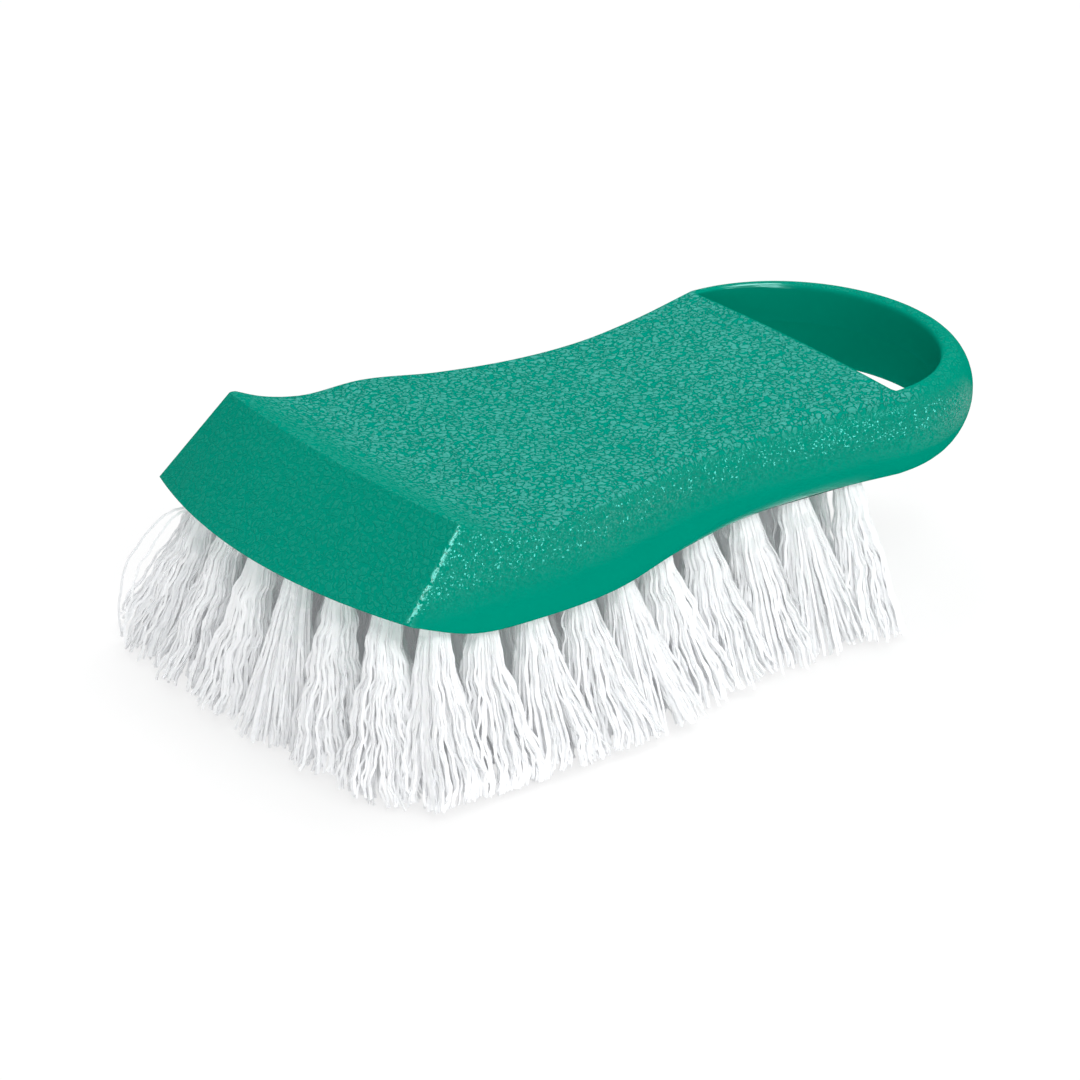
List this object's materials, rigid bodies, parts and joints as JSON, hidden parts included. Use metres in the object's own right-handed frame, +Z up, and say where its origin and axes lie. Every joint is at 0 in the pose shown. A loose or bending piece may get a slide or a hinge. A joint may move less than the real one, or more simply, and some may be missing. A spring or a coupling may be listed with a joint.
{
  "type": "cutting board brush",
  "caption": "Hand scrubbing brush with a waisted moulded block, a slanted nose, an open D-shaped hanging loop and fanned crimped filament tufts.",
  "frame": {"origin": "bottom centre of the overall box, on the surface that the filament tips stand on", "axes": "+X runs from the nose to the hanging loop, +Y across the brush, +Z up"},
  "size_m": [0.151, 0.0882, 0.0439],
  "materials": {
    "block_plastic": "satin, fine moulded grain on the palm face and nose",
    "filament": "white translucent crimped filament"
  },
  "bodies": {
    "root": {"block": "block_plastic", "tuft_01_1": "filament", "tuft_01_2": "filament", "tuft_01_3": "filament", "tuft_01_4": "filament", "tuft_01_5": "filament", "tuft_01_6": "filament", "tuft_02_1": "filament", "tuft_02_2": "filament", "tuft_02_3": "filament", "tuft_02_4": "filament", "tuft_02_5": "filament", "tuft_02_6": "filament", "tuft_03_1": "filament", "tuft_03_2": "filament", "tuft_03_3": "filament", "tuft_03_4": "filament", "tuft_03_5": "filament", "tuft_03_6": "filament", "tuft_03_7": "filament", "tuft_04_1": "filament", "tuft_04_2": "filament", "tuft_04_3": "filament", "tuft_04_4": "filament", "tuft_04_5": "filament", "tuft_04_6": "filament", "tuft_05_1": "filament", "tuft_05_2": "filament", "tuft_05_3": "filament", "tuft_05_4": "filament", "tuft_05_5": "filament", "tuft_06_1": "filament", "tuft_06_2": "filament", "tuft_06_3": "filament", "tuft_06_4": "filament", "tuft_06_5": "filament", "tuft_06_6": "filament", "tuft_07_1": "filament", "tuft_07_2": "filament", "tuft_07_3": "filament", "tuft_07_4": "filament", "tuft_07_5": "filament", "tuft_08_1": "filament", "tuft_08_2": "filament", "tuft_08_3": "filament", "tuft_08_4": "filament", "tuft_09_1": "filament", "tuft_09_2": "filament", "tuft_09_3": "filament", "tuft_09_4": "filament", "tuft_09_5": "filament", "tuft_10_1": "filament", "tuft_10_2": "filament", "tuft_10_3": "filament", "tuft_10_4": "filament", "tuft_11_1": "filament", "tuft_11_2": "filament", "tuft_11_3": "filament", "tuft_11_4": "filament", "tuft_11_5": "filament"}
  },
  "joints": []
}
